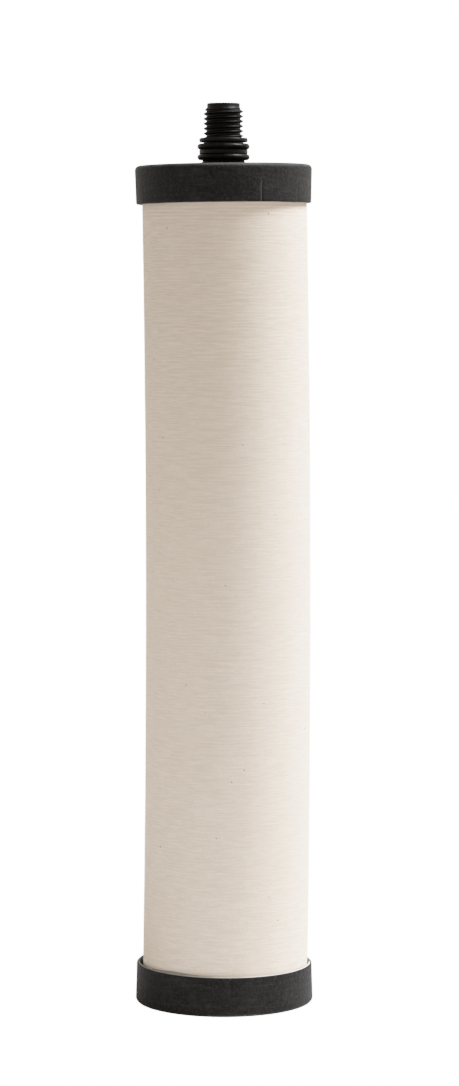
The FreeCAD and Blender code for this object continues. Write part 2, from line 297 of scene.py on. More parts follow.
def tube_surface(angle, height):
    """How far the fired and turned surface stands off a true cylinder."""
    waves = 0
    for depth, around, along, seed in TUBE_WAVES:
        waves += depth * bumpiness(angle, height, around, along, seed)
    below_cap = upper_cap_low.z - height
    fade = max(0, 1 - abs(below_cap - END_MARK_MIDDLE) / END_MARK_REACH)
    return waves + END_MARK_DEPTH * fade * math.sin(TURN * below_cap / END_MARK_PITCH)


def ceramic_tube():
    centre, bend_radius, half_angle = tube_bend()
    angles = even_angles(TUBE_SIDES)
    walls = [(TUBE_RADIUS, TUBE_ROWS, 1), (TUBE_RADIUS - TUBE_WALL, TUBE_INNER_ROWS, -1)]
    points, rings, faces = [], [], []
    for radius, rows, way in walls:
        for row in range(rows + 1):
            bend = way * half_angle * (2 * row / rows - 1)
            ring = []
            for angle in angles:
                height = centre.z + bend_radius * math.sin(bend)
                rough = tube_surface(angle, height) if way > 0 else 0
                ring.append(len(points))
                points.append(tube_point(centre, bend_radius, bend, angle, radius + rough))
            rings.append(ring)
    for index, ring in enumerate(rings):
        faces += bridge(ring, rings[(index + 1) % len(rings)])
    tube = piece_from("ceramic_tube", points, faces, "porous_ceramic", "ceramic_shell")
    sharpen_rims(tube.data, RIM_ANGLE)
    return tube


def sharpen_rims(mesh, degrees):
    """Mark edges sharper than the angle, so that an end face and a wall don't shade into each other."""
    shell = bmesh.new()
    shell.from_mesh(mesh)
    for edge in shell.edges:
        if edge.is_manifold and edge.calc_face_angle() > math.radians(degrees):
            edge.smooth = False
    shell.to_mesh(mesh)
    shell.free()


# ---------------------------------------------------------------- end caps

# Witness grooves in the part of a cap's wall near its rim: where they are and their half width, in
# degrees, and how far above the closed face they start
WITNESS_LINES = (64.5, 33.5, 154.5, 274.5)
WITNESS_HALF_WIDTH = 0.8
WITNESS_DEPTH = 0.18 * MM
WITNESS_START = 5.4 * MM
WITNESS_RUN_IN = 0.7 * MM

# Pale wear along the closed face's outer corner
WEAR_LEVEL = 0.35 * MM
WEAR_SPREAD = 0.3 * MM
WEAR_REACH = 1.2 * MM


def cap_angles():
    """Even angles, with a few more at each witness line."""
    angles = set(even_angles(CAP_SIDES))
    for line in WITNESS_LINES:
        for side in (-1, -0.5, 0, 0.5, 1):
            angles.add(math.radians(line + side * WITNESS_HALF_WIDTH) % TURN)
    return sorted(angles)


def cap_corners(start, end, corner):
    """The cap's outline with its closed face down, from the corners given for the start and the end
    of its middle, and the rounding of its outer corner."""
    rim = CAP_RADIUS - CAP_DRAFT
    guide_top = CAP_FLOOR + GUIDE_HEIGHT
    wall = [(CAP_RADIUS - CAP_DRAFT * height / CAP_HEIGHT, height, 0) for height in WALL_ROWS]
    return start + [
        (FACE_RECESS_RADIUS, FACE_RECESS, 0.15 * MM),
        (FACE_RECESS_RADIUS + FACE_RECESS, 0, 0.2 * MM),
        (CAP_RADIUS, 0, corner),
        *wall,
        (rim, CAP_HEIGHT, LIP_OUTER_ROUNDING),
        (rim - CAP_LIP, CAP_HEIGHT, LIP_INNER_ROUNDING),
        (CHANNEL_RADIUS, CAP_FLOOR, INSIDE_ROUNDING),
        (GUIDE_OUTER, CAP_FLOOR, INSIDE_ROUNDING),
        (GUIDE_OUTER, guide_top, 0.2 * MM),
        (GUIDE_INNER, guide_top, 0.2 * MM),
        (GUIDE_INNER, CAP_FLOOR, INSIDE_ROUNDING),
    ] + end


def cap_surface(angle, radius, height):
    """A moulding's slight unevenness, and the witness grooves up the part of its wall near the rim."""
    if radius < CAP_RADIUS - CAP_DRAFT - LIP_INNER_ROUNDING:
        return radius, height
    uneven = CAP_UNEVENNESS * bumpiness(angle, height, 3.0, 6 * MM, 5.5)
    reach = min(max((height - WITNESS_START) / WITNESS_RUN_IN, 0), 1)
    groove = 0
    for line in WITNESS_LINES:
        away = (math.degrees(angle) - line + 180) % 360 - 180
        groove += max(0, 1 - abs(away) / WITNESS_HALF_WIDTH) * WITNESS_DEPTH * reach
    return radius + uneven - groove, height


def rib_boxes():
    """Points and faces of the bars that stand the ceramic off the cap's floor."""
    points, faces = [], []
    length, width, height = RIB_SIZE
    for angle in even_angles(RIB_COUNT):
        along = Vector((math.cos(angle), math.sin(angle), 0))
        across = Vector((-math.sin(angle), math.cos(angle), 0))
        first = len(points)
        for side, end in ((-1, -1), (-1, 1), (1, 1), (1, -1)):
            foot = along * (RIB_MIDDLE + end * length / 2) + across * (side * width / 2)
            for level in (CAP_FLOOR - RIB_SINK, CAP_FLOOR + height - RIB_SINK):
                points.append((foot.x, foot.y, level))
        faces.append(tuple(first + step for step in (0, 2, 4, 6)))
        faces.append(tuple(first + step for step in (1, 7, 5, 3)))
        for step in range(4):
            here, there = 2 * step, 2 * ((step + 1) % 4)
            faces.append(tuple(first + corner for corner in (here, here + 1, there + 1, there)))
    return points, faces


def upper_end(points):
    """The lower end's points turned over for the upper end, where the cap sits a little askew."""
    pivot = CAP_HEIGHT / 2
    return [
        (x + (z - pivot) * UPPER_CAP_TILT, -y, BODY_TOP - z + x * UPPER_CAP_TILT)
        for x, y, z in points
    ]


def lower_end(points):
    """The cap stands flat on its base, but its rim follows the lean of the bowed tube."""
    return [(x, y, z - x * LOWER_RIM_TILT * z / CAP_HEIGHT) for x, y, z in points]


def end_cap(name, node, corners, closed, flip):
    points, faces = lathe(outline(corners, closed), cap_angles(), closed, cap_surface)
    rib_points, rib_faces = rib_boxes()
    faces += [tuple(corner + len(points) for corner in face) for face in rib_faces]
    points += rib_points
    points = upper_end(points) if flip else lower_end(points)
    cap = piece_from(name, points, faces, "cap_plastic", node)
    paint_wear_and_highlight(cap.data, flip)
    crisp(cap)
    return cap


def paint_wear_and_highlight(mesh, is_upper):
    """Store how rubbed or lit each point is: the rubbed outer corner of the closed face, and a painted
    highlight on one flank of each witness groove on the upper cap."""
    wear_and_highlight = mesh.attributes.new("wear_and_highlight", "FLOAT", "POINT")
    corner_height = BODY_TOP - WEAR_LEVEL if is_upper else lower_cap_low.z + WEAR_LEVEL
    for index, vertex in enumerate(mesh.vertices):
        x, y, z = vertex.co
        radius, angle = math.hypot(x, y), math.degrees(math.atan2(y, x))
        level = z - x * UPPER_CAP_TILT if is_upper else z
        patchy = min(max(0.55 + 1.2 * bumpiness(math.radians(angle), 0, 4.0, 1, 2.2), 0), 1)
        near_corner = math.exp(-((level - corner_height) / WEAR_SPREAD) ** 2)
        outside = radius > CAP_RADIUS - WEAR_REACH
        amount = patchy * near_corner if outside else 0
        # painted highlight: one flank of each witness groove is paler, as if it caught the light
        if is_upper and outside and level < BODY_TOP - WITNESS_START:
            for line in WITNESS_LINES:
                away = (angle + line + 0.5 * WITNESS_HALF_WIDTH + 180) % 360 - 180
                amount = max(amount, 0.5 * (1 - abs(away) / (0.6 * WITNESS_HALF_WIDTH)))
        wear_and_highlight.data[index].value = amount


def lower_cap():
    start = [
        (0, FACE_RECESS - GATE_HEIGHT, 0),
        (GATE_RADIUS, FACE_RECESS - GATE_HEIGHT, FINE_ROUNDING),
        (GATE_RADIUS, FACE_RECESS, FINE_ROUNDING),
    ]
    end = [(0, CAP_FLOOR, 0)]
    corners = cap_corners(start, end, LOWER_CORNER)
    return end_cap("lower_cap_moulding", "lower_end_cap", corners, False, False)


def upper_cap():
    start = [(SPIGOT_HOLE, FACE_RECESS, FINE_ROUNDING)]
    end = [(SPIGOT_HOLE, CAP_FLOOR, FINE_ROUNDING)]
    corners = cap_corners(start, end, UPPER_CORNER)
    return end_cap("upper_cap_moulding", "upper_end_cap", corners, True, True)


# ---------------------------------------------------------------- resin beads

# Stretches round a bead, in degrees: its middle, how far it is full each way, and how far it fades
LEFT_GAP = (172, 27, 12)
RIGHT_GAP = (12, 12, 8)
LEFT_LOW = (172, 27, 34)
FRONT_LEFT = (-126, 3, 27)
# painted shade: at these two stretches the bead is coloured dark
SHADED_BACK_LEFT = (150, 14, 6)
SHADED_BACK_RIGHT = (24, 23, 6)

BEAD_SIDES = 320
BEAD_GAP_DEPTH = 6.0 * MM
BEAD_SAG = 0.3 * MM
BEAD_CLEARANCE = 0.05 * MM
# The low crown that lies over the lip: how far out from the lip's inner edge, and how high as a
# share of its swell
CROWN_OUTLINE = ((0.56 * MM, 0.5), (0.45 * MM, 0.9), (0.3 * MM, 1))
# The fillet that climbs the ceramic: how far off it, and how far up it as a share of its height
FILLET_OUTLINE = ((0.12 * MM, 0.25), (0.05 * MM, 0.6), (0.03 * MM, 0.9))


def tube_lean(height):
    """How far the bowed tube's axis is off to +X at a height."""
    centre, bend_radius, _ = tube_bend()
    return centre.x + math.sqrt(bend_radius ** 2 - (height - centre.z) ** 2)


def swept(section, angles):
    """Points, faces and painted values of a closed outline that changes as it goes round Z."""
    points, faces, values = [], [], []
    count = len(section(0))
    for column, angle in enumerate(angles):
        for radius, height, value in section(angle):
            points.append((radius * math.cos(angle), radius * math.sin(angle), height))
            values.append(value)
        this = column * count
        after = (column + 1) % len(angles) * count
        for row in range(count):
            above = (row + 1) % count
            faces.append((this + row, after + row, after + above, this + above))
    return points, faces, values


def within(angle, middle, full, fade):
    """1 in a stretch round the bead, falling to 0 over the fade; all but the angle are in degrees."""
    away = abs((math.degrees(angle) - middle + 180) % 360 - 180)
    return min(max((full + fade - away) / fade, 0), 1)


def resin_bead(name, node, crown, climb, surge, flip):
    """Resin that holds the tube's end: it fills the channel, lies over the lip in a low crown and
    climbs the ceramic unevenly. Next to both ends of the X axis it has sunk and left a gap.
    Every point of its section also has a painted shade value, from 0 for clean to 1 for dark: painted
    shade on the side away from the light, at two stretches at the back, in the dip next to the ceramic
    and in the gaps."""
    lean = tube_lean(lower_cap_low.z + CAP_HEIGHT)
    end_lean = tube_lean(tube_low.z + 1 * MM)
    tube_end = tube_low.z - lower_cap_low.z
    guide_top = CAP_FLOOR + GUIDE_HEIGHT
    guide_wall = GUIDE_OUTER + BEAD_CLEARANCE
    lip = CAP_HEIGHT
    lip_inner = CAP_RADIUS - CAP_DRAFT - CAP_LIP

    def section(angle):
        facing = math.cos(angle)
        wall = TUBE_RADIUS + lean * facing
        foot = TUBE_RADIUS + end_lean * facing
        inner = foot - TUBE_WALL
        patchy = 0.5 + 0.5 * bumpiness(angle, 0, 2.4, 1, 8.8)
        gap = max(within(angle, *LEFT_GAP), 0.6 * within(angle, *RIGHT_GAP))
        climbing = climb * (0.6 + 0.8 * patchy) * (1 - within(angle, *LEFT_LOW))
        rise = (climbing + surge * within(angle, *FRONT_LEFT) ** 1.5) * (1 - gap)
        swell = crown * (0.7 + 0.6 * patchy) * (0.9 - 0.35 * facing)
        top = lip + rise - BEAD_GAP_DEPTH * gap ** 2
        dip = top - BEAD_SAG - 0.3 * rise
        # painted shade: darker on the side away from the light, at two stretches at the back, in the
        # dip next to the ceramic and in the sunk gaps
        shaded_behind = max(within(angle, *SHADED_BACK_LEFT), within(angle, *SHADED_BACK_RIGHT))
        side_shade = max(0.42 - 0.38 * facing, shaded_behind)
        shadowed = max(0.4, side_shade - 0.05, gap)
        crown_points = [(lip_inner + out, lip + up * swell, side_shade) for out, up in CROWN_OUTLINE]
        fillet_points = [(wall + off, dip + up * (top - dip), shadowed) for off, up in FILLET_OUTLINE]
        return [
            (guide_wall, CAP_FLOOR, 0),
            (CHANNEL_RADIUS - 0.02 * MM, CAP_FLOOR, 0),
            (lip_inner + 0.04 * MM, lip - 0.2 * MM, 0),
            (lip_inner + 0.1 * MM, lip - 0.03 * MM, 0),
            (lip_inner + 0.6 * MM, lip - 0.03 * MM, side_shade),
            *crown_points,
            (lip_inner + 0.12 * MM, lip + 0.7 * swell, shadowed),
            (lip_inner - 0.04 * MM, lip - 0.1 * MM, shadowed),
            (lip_inner - 0.06 * MM, dip, shadowed),
            ((wall + lip_inner) / 2, dip, shadowed),
            *fillet_points,
            (wall - 0.03 * MM, top, shadowed - 0.1),
            (foot, tube_end, 0),
            (inner, tube_end, 0),
            (inner, guide_top, 0),
            (guide_wall, guide_top, 0),
        ]

    points, faces, values = swept(section, even_angles(BEAD_SIDES))
    points = upper_end(points) if flip else lower_end(points)
    bead = piece_from(name, points, faces, "potting_resin", node)
    # each point's painted shade value is stored on the mesh for the resin's colour
    painted_shade = bead.data.attributes.new("painted_shade", "FLOAT", "POINT")
    for index, value in enumerate(values):
        painted_shade.data[index].value = value
    return bead


# ---------------------------------------------------------------- spigot


def thread_radius(angle, height, lead_top):
    """Radius of a right-hand thread's surface, with a 45 degree lead at its top."""
    turns = (height - THREAD_PHASE) / THREAD_PITCH - angle / TURN
    from_crest = abs(turns - round(turns)) * THREAD_PITCH
    radius = THREAD_CREST - max(0, from_crest - THREAD_CREST_HALF) * math.tan(THREAD_FLANK)
    radius = max(radius, THREAD_ROOT)
    lead = LEAD_RADIUS + lead_top - height
    return max(min(radius, lead), LEAD_RADIUS)


def spigot_below_thread(flange, flange_top):
    """Outline from the tail's end up to the thread's foot, as (radius, height, rounding)."""
    flange_bottom = flange_top - FLANGE_THICKNESS
    return outline([
        (BORE, spigot_low.z, 0.15 * MM),
        (TAIL_RADIUS, spigot_low.z, 0.35 * MM),
        (TAIL_RADIUS, TAIL_GROOVE_BOTTOM, 0.1 * MM),
        (TAIL_GROOVE_RADIUS, TAIL_GROOVE_BOTTOM, 0.2 * MM),
        (TAIL_GROOVE_RADIUS, TAIL_GROOVE_TOP, 0.2 * MM),
        (TAIL_RADIUS, TAIL_GROOVE_TOP, 0.1 * MM),
        (TAIL_RADIUS, flange_bottom, 0.2 * MM),
        (flange, flange_bottom, 0.2 * MM),
        (flange, flange_top, 0.2 * MM),
        (SEAT_RADIUS, flange_top, 0.2 * MM),
        (SEAT_RADIUS, SHOULDER_TOP, 0.2 * MM),
        (FLARE_RADIUS, SHOULDER_TOP, 0.15 * MM),
        (NECK_RADIUS, FLARE_TOP, 0.15 * MM),
        (NECK_RADIUS, LAND_BOTTOM, 0.15 * MM),
        (SEAT_RADIUS, LAND_BOTTOM, 0.25 * MM),
        (SEAT_RADIUS, LAND_TOP, 0.25 * MM),
        (NECK_RADIUS, LAND_TOP, 0.15 * MM),
        (NECK_RADIUS, COLLAR_BOTTOM, 0.15 * MM),
        (SEAT_RADIUS, COLLAR_BOTTOM, 0.4 * MM),
        (SEAT_RADIUS, COLLAR_TOP, 0.4 * MM),
        (THREAD_ROOT, COLLAR_TOP, 0),
    ], False)


def spigot():
    """One closed lathed shell: tail, inner flange, O-ring seats, thread and bore."""
    top = spigot_high.z
    lead_top = top - LEAD_HEIGHT
    flange_top = BODY_TOP - CAP_FLOOR - GASKET_THICKNESS
    below = spigot_below_thread(spigot_high.x, flange_top)
    threaded = []
    for row in range(1, THREAD_ROWS):
        height = COLLAR_TOP + (lead_top - COLLAR_TOP) * row / THREAD_ROWS
        threaded.append((THREAD_ROOT, height))
    above = outline([
        (LEAD_RADIUS, lead_top, 0),
        (LEAD_RADIUS, top, 0.25 * MM),
        (BORE, top, 0.4 * MM),
        (BORE, spigot_low.z + 1 * MM, 0),
    ], False)

    def shape(angle, radius, height):
        in_thread = COLLAR_TOP - HAIR < height < lead_top
        if in_thread and abs(radius - THREAD_ROOT) < HAIR:
            return thread_radius(angle, height, lead_top), height
        return radius, height

    points, faces = lathe(below + threaded + above, even_angles(SPIGOT_SIDES), True, shape)
    piece = piece_from("spigot_moulding", points, faces, "spigot_plastic", "outlet_spigot")
    crisp(piece)
    return piece


def o_ring(name, node, seed):
    """Rubber ring with a slight parting ridge round its outside and a little unevenness."""
    low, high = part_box(node)
    section = (high.z - low.z) / 2
    middle = (high.z + low.z) / 2
    mean = high.x - section
    profile = []
    for step, turn in enumerate(even_angles(RING_SECTION_SIDES)):
        flash = RING_FLASH if step == 0 else 0
        profile.append((mean + (section + flash) * math.cos(turn), middle + section * math.sin(turn)))

    def shape(angle, radius, height):
        return radius, height + RING_SWAY * bumpiness(angle, 0, 1.1, 1, seed)

    points, faces = lathe(profile, even_angles(RING_SIDES), True, shape)
    return piece_from(name, points, faces, "seal_rubber", node)


# ---------------------------------------------------------------- materials


class Recipe:
    """One procedural material: short calls that add nodes and return their outputs."""

    def __init__(self, name, roughness, specular=0.5):
        self.material = bpy.data.materials.new(name)
        self.material.use_nodes = True
        self.tree = self.material.node_tree
        self.shader = self.tree.nodes["Principled BSDF"]
        self.shader.inputs["Roughness"].default_value = roughness
        self.shader.inputs["Specular IOR Level"].default_value = specular
        self.place = self.tree.nodes.new("ShaderNodeTexCoord").outputs["Object"]
        self.bumped = None

    def link(self, source, target):
        self.tree.links.new(source, target)

    def scaled(self, scale):
        """The object's own coordinates, in metres, times a scale for each axis."""
        mapping = self.tree.nodes.new("ShaderNodeMapping")
        mapping.inputs["Scale"].default_value = scale
        self.link(self.place, mapping.inputs["Vector"])
        return mapping.outputs["Vector"]

    def noise(self, size, detail, rough=0.5, stretch=(1, 1, 1)):
        """Noise with features of about that size in metres, longer along the axes with a stretch."""
        node = self.tree.nodes.new("ShaderNodeTexNoise")
        node.inputs["Scale"].default_value = 1.0
        node.inputs["Detail"].default_value = detail
        node.inputs["Roughness"].default_value = rough
        self.link(self.scaled([1 / (size * s) for s in stretch]), node.inputs["Vector"])
        return node.outputs["Fac"]

    def cells(self, size):
        """The distance from the middle of irregular cells of about that size in metres."""
        node = self.tree.nodes.new("ShaderNodeTexVoronoi")
        node.inputs["Scale"].default_value = 1.0
        self.link(self.scaled([1 / size] * 3), node.inputs["Vector"])
        return node.outputs["Distance"]

    def dots(self, spacing, radius):
        """Sparse round dots: 1 at a dot's middle, 0 outside it."""
        share = radius / spacing
        return self.remap(self.cells(spacing), share, share * 0.35, 0, 1)

    def height(self):
        """The height above the floor, in metres."""
        split = self.tree.nodes.new("ShaderNodeSeparateXYZ")
        self.link(self.place, split.inputs[0])
        return split.outputs["Z"]

    def painted(self, name):
        """A value stored on the mesh's points."""
        node = self.tree.nodes.new("ShaderNodeAttribute")
        node.attribute_name = name
        return node.outputs["Fac"]

    def remap(self, value, low, high, to_low=0.0, to_high=1.0):
        """A value eased from one range into another, and held at its ends."""
        node = self.tree.nodes.new("ShaderNodeMapRange")
        node.interpolation_type = "SMOOTHSTEP"
        node.inputs["From Min"].default_value = low
        node.inputs["From Max"].default_value = high
        node.inputs["To Min"].default_value = to_low
        node.inputs["To Max"].default_value = to_high
        self.link(value, node.inputs["Value"])
        return node.outputs["Result"]

    def combine(self, how, first, second):
        """A math node; the second value may be a plain number."""
        node = self.tree.nodes.new("ShaderNodeMath")
        node.operation = how
        self.link(first, node.inputs[0])
        if isinstance(second, (int, float)):
            node.inputs[1].default_value = second
        else:
            self.link(second, node.inputs[1])
        return node.outputs[0]

    def blend(self, factor, first, second):
        """A colour between two; each may be a tuple or another node's output."""
        node = self.tree.nodes.new("ShaderNodeMix")
        node.data_type = "RGBA"
        self.link(factor, node.inputs["Factor"])
        for value, socket in ((first, node.inputs[6]), (second, node.inputs[7])):
            if isinstance(value, tuple):
                socket.default_value = (*value, 1)
            else:
                self.link(value, socket)
        return node.outputs[2]

    def tint_specular(self, tint):
        """The colour of what the surface mirrors when seen straight on."""
        self.shader.inputs["Specular Tint"].default_value = (*tint, 1)

    def sheen(self, weight, roughness, tint):
        """A dusty glow towards the edges of the shape."""
        self.shader.inputs["Sheen Weight"].default_value = weight
        self.shader.inputs["Sheen Roughness"].default_value = roughness
        self.shader.inputs["Sheen Tint"].default_value = (*tint, 1)

    def colour(self, source):
        self.link(source, self.shader.inputs["Base Color"])

    def roughness(self, source):
        self.link(source, self.shader.inputs["Roughness"])

    def bump(self, height, depth, strength=1.0):
        """Add a bump whose heights from 0 to 1 span a depth in metres."""
        node = self.tree.nodes.new("ShaderNodeBump")
        node.inputs["Strength"].default_value = strength
        node.inputs["Distance"].default_value = depth
        self.link(height, node.inputs["Height"])
        if self.bumped:
            self.link(self.bumped, node.inputs["Normal"])
        self.bumped = node.outputs["Normal"]
        self.link(self.bumped, self.shader.inputs["Normal"])


def porous_ceramic():
    """Cream unglazed ceramic, with painted shade that makes it darker towards its upper end, with
    turning lines that are clearest there, fine grain, scuffs, pores and a few pinholes."""
    cream_lit_below, cream_shaded_above = (0.868, 0.733, 0.602), (0.773, 0.646, 0.521)
    line_brown, grain_brown = (0.628, 0.505, 0.390), (0.58, 0.465, 0.36)
    scuff_pale = (0.88, 0.77, 0.66)
    pore_brown, pinhole_brown = (0.45, 0.36, 0.27), (0.20, 0.16, 0.13)
    recipe = Recipe("porous_ceramic", 0.9, 0.3)
    height = recipe.height()
    clouds = recipe.remap(recipe.noise(30 * MM, 3), 0.3, 0.7)
    # painted shade: the cream is darker towards the upper end, where less light falls; the clouds only
    # vary it at random
    painted_shade_above = recipe.remap(height, 0, 0.25, 0.22, 1)
    painted_shade_and_clouds = recipe.combine("SUBTRACT", painted_shade_above, recipe.combine("MULTIPLY", clouds, 0.22))
    base = recipe.blend(painted_shade_and_clouds, cream_lit_below, cream_shaded_above)

    # turning lines: fine strokes, with regular ridges that come and go and drift up and down
    strokes = recipe.noise(0.26 * MM, 2, 0.6, (21, 21, 1))
    drift = recipe.combine("MULTIPLY", recipe.noise(7 * MM, 2, 0.5, (4, 4, 1)), 9)
    ridges = recipe.combine("ADD", recipe.combine("MULTIPLY", height, TURN / TURNING_PITCH), drift)
    patches = recipe.remap(recipe.noise(3 * MM, 2, 0.5, (5, 5, 1)), 0.35, 0.65, 0.005, 0.045)
    clearer = recipe.remap(height, *CLEARER_LINES, 0.6, 1.0)
    at_end = recipe.remap(height, *DEEP_LINES, 1.0, 4.5)
    ridge_depth = recipe.combine("MULTIPLY", patches, recipe.combine("MULTIPLY", clearer, at_end))
    ridged = recipe.combine("MULTIPLY", recipe.combine("SINE", ridges, 0), ridge_depth)
    lines = recipe.combine("ADD", strokes, ridged)
    coarser_turning = recipe.remap(height, *COARSER_LINES, 0.6, 0.95)
    line_mask = recipe.combine("MULTIPLY", recipe.remap(lines, 0.66, 0.34), coarser_turning)
    lined = recipe.blend(line_mask, base, line_brown)

    grain = recipe.noise(0.25 * MM, 2, 0.7)
    scuffs = recipe.remap(recipe.noise(1.2 * MM, 3, 0.6, (6, 6, 2)), 0.62, 0.75)
    pores = recipe.dots(2.4 * MM, 0.2 * MM)
    pinholes = recipe.dots(6.0 * MM, 0.34 * MM)
    grained = recipe.blend(recipe.remap(grain, 0.35, 0.7, 0.52, 0), lined, grain_brown)
    scuffed = recipe.blend(recipe.combine("MULTIPLY", scuffs, 0.15), grained, scuff_pale)
    pored = recipe.blend(recipe.combine("MULTIPLY", pores, 0.4), scuffed, pore_brown)
    recipe.colour(recipe.blend(recipe.combine("MULTIPLY", pinholes, 0.75), pored, pinhole_brown))
    recipe.roughness(recipe.remap(grain, 0.2, 0.8, 0.82, 0.97))
    recipe.bump(lines, 0.07 * MM, 0.9)
    recipe.bump(grain, 0.03 * MM, 0.6)
    recipe.bump(recipe.combine("MULTIPLY", pinholes, -1), 0.2 * MM, 0.8)
    return recipe.material


def cap_plastic():
    """Charcoal moulded plastic, matt and speckled, with dust, a dry bloom, pale rubbed edges and a
    painted highlight on one flank of each witness groove.
    """
    black, charcoal = (0.0034, 0.0031, 0.0027), (0.0165, 0.0156, 0.0142)
    flow_grey, bloom_grey = (0.026, 0.0245, 0.022), (0.022, 0.0208, 0.0192)
    mottle_grey, worn_grey = (0.030, 0.0285, 0.0265), (0.085, 0.081, 0.076)
    dust_beige = (0.32, 0.30, 0.27)
    recipe = Recipe("cap_plastic", 0.6, 0.08)
    recipe.tint_specular((1.0, 0.92, 0.85))
    recipe.sheen(0.04, 0.4, (1.0, 0.90, 0.82))
    speckle = recipe.noise(0.38 * MM, 3, 0.75)
    mottle = recipe.noise(0.9 * MM, 3, 0.65)
    flow = recipe.noise(0.8 * MM, 2, 0.6, (12, 12, 1))
    bloom = recipe.remap(recipe.noise(4.5 * MM, 4, 0.6), 0.45, 0.75)
    dust = recipe.dots(6.5 * MM, 0.2 * MM)
    wear_and_highlight = recipe.painted("wear_and_highlight")
    base = recipe.blend(recipe.remap(speckle, 0.4, 0.68), black, charcoal)
    flowed = recipe.blend(recipe.remap(flow, 0.5, 0.7, 0, 0.3), base, flow_grey)
    bloomed = recipe.blend(recipe.combine("MULTIPLY", bloom, 0.4), flowed, bloom_grey)
    mottled = recipe.blend(recipe.remap(mottle, 0.52, 0.68, 0, 0.35), bloomed, mottle_grey)
    # pale rubbed corners, and the painted highlight on the witness grooves' flanks, from the mesh's
    # painted values
    worn_and_lit = recipe.blend(recipe.combine("MULTIPLY", wear_and_highlight, 0.8), mottled, worn_grey)
    recipe.colour(recipe.blend(recipe.combine("MULTIPLY", dust, 0.45), worn_and_lit, dust_beige))
    recipe.roughness(recipe.remap(speckle, 0.3, 0.7, 0.52, 0.7))
    recipe.bump(speckle, 0.12 * MM, 0.9)
    recipe.bump(bloom, 0.06 * MM, 0.4)
    recipe.bump(mottle, 0.3 * MM, 0.9)
    return recipe.material


def spigot_plastic():
    """Jet black moulding with a polished skin, a little flow waviness and a trace of dust."""
    jet, soft_jet, dust_grey = (0.0028, 0.0027, 0.0024), (0.0052, 0.0050, 0.0045), (0.18, 0.18, 0.17)
    recipe = Recipe("spigot_plastic", 0.38, 0.09)
    recipe.tint_specular((1.0, 0.94, 0.86))
    flow = recipe.noise(1.8 * MM, 3, 0.5)
    grain = recipe.noise(0.12 * MM, 2, 0.5)
    dust = recipe.dots(3.0 * MM, 0.09 * MM)
    base = recipe.blend(recipe.remap(flow, 0.3, 0.7), jet, soft_jet)
    recipe.colour(recipe.blend(recipe.combine("MULTIPLY", dust, 0.4), base, dust_grey))
    recipe.roughness(recipe.remap(flow, 0.3, 0.7, 0.36, 0.48))
    recipe.bump(grain, 0.006 * MM, 0.4)
    return recipe.material


def seal_rubber():
    """Black nitrile rubber with a soft sheen and a faint moulded grain."""
    black, smeared_black = (0.0028, 0.0027, 0.0025), (0.0055, 0.0053, 0.0049)
    recipe = Recipe("seal_rubber", 0.35, 0.06)
    recipe.tint_specular((1.0, 0.95, 0.89))
    grain = recipe.noise(0.25 * MM, 3, 0.6)
    smear = recipe.noise(2.5 * MM, 2, 0.5)
    recipe.colour(recipe.blend(recipe.remap(smear, 0.35, 0.65), black, smeared_black))
    recipe.roughness(recipe.remap(smear, 0.3, 0.7, 0.28, 0.42))
    recipe.bump(grain, 0.008 * MM, 0.4)
    return recipe.material


def potting_resin():
    """Grey-beige bonding resin, cloudy, with small bubbles, darkened by painted shade where the mesh is
    painted.
    """
    beige, pale_beige = (0.57, 0.53, 0.47), (0.74, 0.70, 0.64)
    bubble_brown, shade_brown = (0.22, 0.19, 0.16), (0.055, 0.050, 0.042)
    recipe = Recipe("potting_resin", 0.45, 0.4)
    clouds = recipe.noise(3 * MM, 4, 0.6)
    bubbles = recipe.dots(1.3 * MM, 0.16 * MM)
    base = recipe.blend(recipe.remap(clouds, 0.3, 0.7), beige, pale_beige)
    bubbled = recipe.blend(recipe.combine("MULTIPLY", bubbles, 0.5), base, bubble_brown)
    # painted shade: dark where the mesh's points are painted as shaded
    recipe.colour(recipe.blend(recipe.painted("painted_shade"), bubbled, shade_brown))
    recipe.roughness(recipe.remap(clouds, 0.3, 0.7, 0.45, 0.65))
    recipe.bump(clouds, 0.1 * MM, 0.5)
    return recipe.material


def core_plastic():
    """Natural polypropylene, milky and slightly waxy."""
    milky, pale = (0.70, 0.70, 0.67), (0.80, 0.80, 0.77)
    recipe = Recipe("core_plastic", 0.42, 0.45)
    flow = recipe.noise(6 * MM, 3, 0.5)
    grain = recipe.noise(0.3 * MM, 2, 0.5)
    recipe.colour(recipe.blend(recipe.remap(flow, 0.3, 0.7), milky, pale))
    recipe.roughness(recipe.remap(grain, 0.3, 0.7, 0.36, 0.5))
    recipe.bump(grain, 0.008 * MM, 0.4)
    return recipe.material


def core_glue():
    """Amber hot-melt glue."""
    amber, pale_amber = (0.62, 0.50, 0.28), (0.76, 0.68, 0.46)
    recipe = Recipe("core_glue", 0.35, 0.5)
    flow = recipe.noise(2 * MM, 3, 0.6)
    recipe.colour(recipe.blend(recipe.remap(flow, 0.3, 0.7), amber, pale_amber))
    recipe.roughness(recipe.remap(flow, 0.3, 0.7, 0.28, 0.45))
    recipe.bump(flow, 0.08 * MM, 0.4)
    return recipe.material


